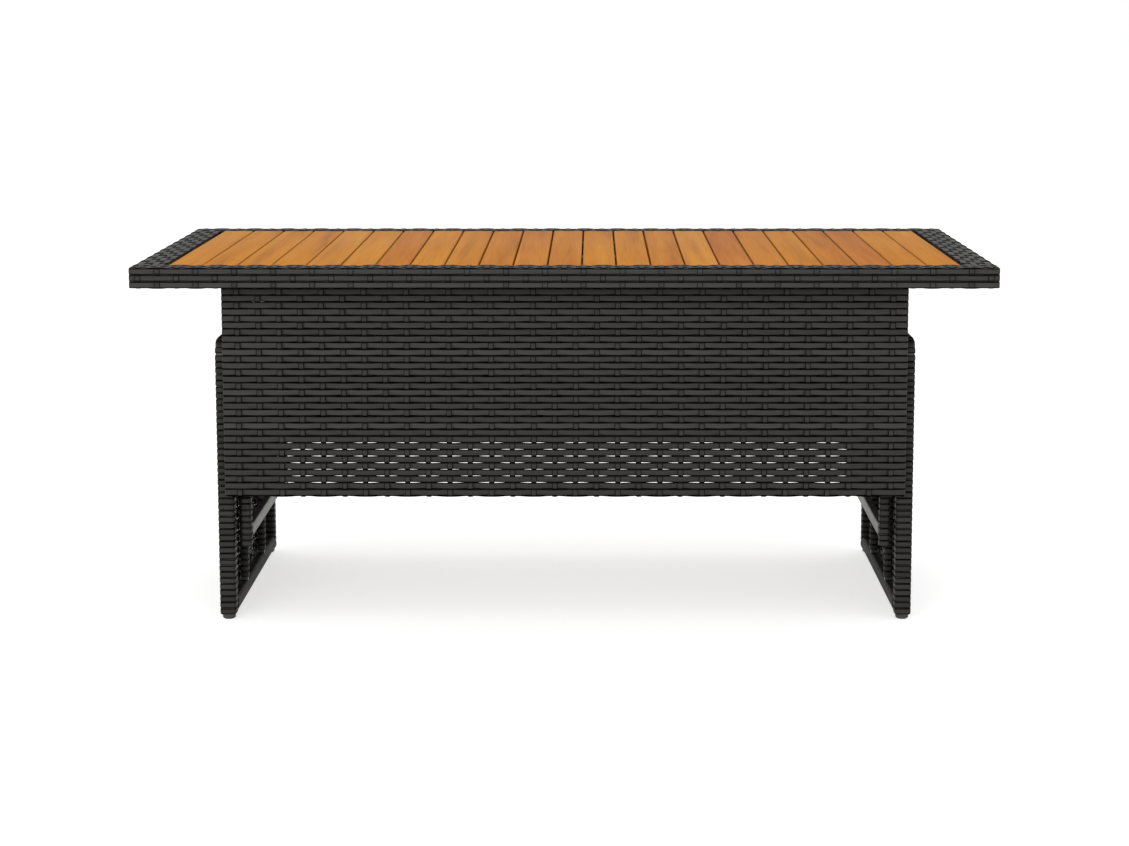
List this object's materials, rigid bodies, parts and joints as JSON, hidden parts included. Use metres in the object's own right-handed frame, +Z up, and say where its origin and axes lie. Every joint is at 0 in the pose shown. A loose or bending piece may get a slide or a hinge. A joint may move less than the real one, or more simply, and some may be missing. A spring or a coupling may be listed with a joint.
{
  "type": "wicker coffee table",
  "caption": "Height-adjustable garden coffee table: slatted wooden top in a wicker rim, deep woven aprons and an inner frame that slides between woven leg frames.",
  "frame": {"origin": "on the floor, under the middle of the table", "axes": "+X along the table's length to the right, +Y to the back, +Z up; the front faces -Y"},
  "size_m": [1, 0.5, 0.43],
  "materials": {
    "wicker": "woven flat plastic strand, finely ribbed, satin",
    "acacia": "oiled solid acacia, straight grain",
    "frame_steel": "powder coated, satin black",
    "bare_steel": "powder coated, satin grey",
    "plastic": "moulded, fine texture"
  },
  "bodies": {
    "base": {"leg_frame_left": "wicker", "leg_frame_right": "wicker", "side_weave_left": "wicker", "side_weave_right": "wicker", "stretcher_front": "frame_steel", "stretcher_back": "frame_steel", "foot_glide_front_left": "plastic", "foot_glide_back_left": "plastic", "foot_glide_front_right": "plastic", "foot_glide_back_right": "plastic"},
    "top": {"plank_01": "acacia", "plank_02": "acacia", "plank_03": "acacia", "plank_04": "acacia", "plank_05": "acacia", "plank_06": "acacia", "plank_07": "acacia", "plank_08": "acacia", "plank_09": "acacia", "plank_10": "acacia", "plank_11": "acacia", "plank_12": "acacia", "plank_13": "acacia", "plank_14": "acacia", "plank_15": "acacia", "plank_16": "acacia", "plank_17": "acacia", "plank_18": "acacia", "plank_19": "acacia", "plank_20": "acacia", "plank_21": "acacia", "plank_22": "acacia", "plank_23": "acacia", "top_rail_front": "frame_steel", "top_rail_back": "frame_steel", "top_rail_left": "frame_steel", "top_rail_right": "frame_steel", "bearer_front": "frame_steel", "bearer_middle": "frame_steel", "bearer_back": "frame_steel", "rim_weave_front": "wicker", "rim_weave_back": "wicker", "rim_weave_left": "wicker", "rim_weave_right": "wicker", "apron_weave_front": "wicker", "apron_weave_back": "wicker", "apron_frame_front": "frame_steel", "apron_frame_back": "frame_steel", "inner_post_front_left": "wicker", "inner_post_back_left": "wicker", "inner_post_front_right": "wicker", "inner_post_back_right": "wicker", "lower_rail_left": "bare_steel", "lower_rail_right": "bare_steel"},
    "hand_screw_front_left": {"hand_screw_front_left": "plastic"},
    "hand_screw_back_left": {"hand_screw_back_left": "plastic"},
    "hand_screw_front_right": {"hand_screw_front_right": "plastic"},
    "hand_screw_back_right": {"hand_screw_back_right": "plastic"}
  },
  "joints": [
    {"name": "top_lift", "type": "slide", "parent": "base", "child": "top", "axis": [0, 0, 1], "range_m": [0, 0.2]},
    {"name": "hand_screw_front_left_turn", "type": "hinge", "parent": "base", "child": "hand_screw_front_left", "pos_m": [-0.3605, -0.1695, 0.326], "axis": [-1, 0, 0], "range_deg": [-360, 0]},
    {"name": "hand_screw_back_left_turn", "type": "hinge", "parent": "base", "child": "hand_screw_back_left", "pos_m": [-0.3605, 0.1695, 0.326], "axis": [-1, 0, 0], "range_deg": [-360, 0]},
    {"name": "hand_screw_front_right_turn", "type": "hinge", "parent": "base", "child": "hand_screw_front_right", "pos_m": [0.3605, -0.1695, 0.326], "axis": [1, 0, 0], "range_deg": [-360, 0]},
    {"name": "hand_screw_back_right_turn", "type": "hinge", "parent": "base", "child": "hand_screw_back_right", "pos_m": [0.3605, 0.1695, 0.326], "axis": [1, 0, 0], "range_deg": [-360, 0]}
  ]
}
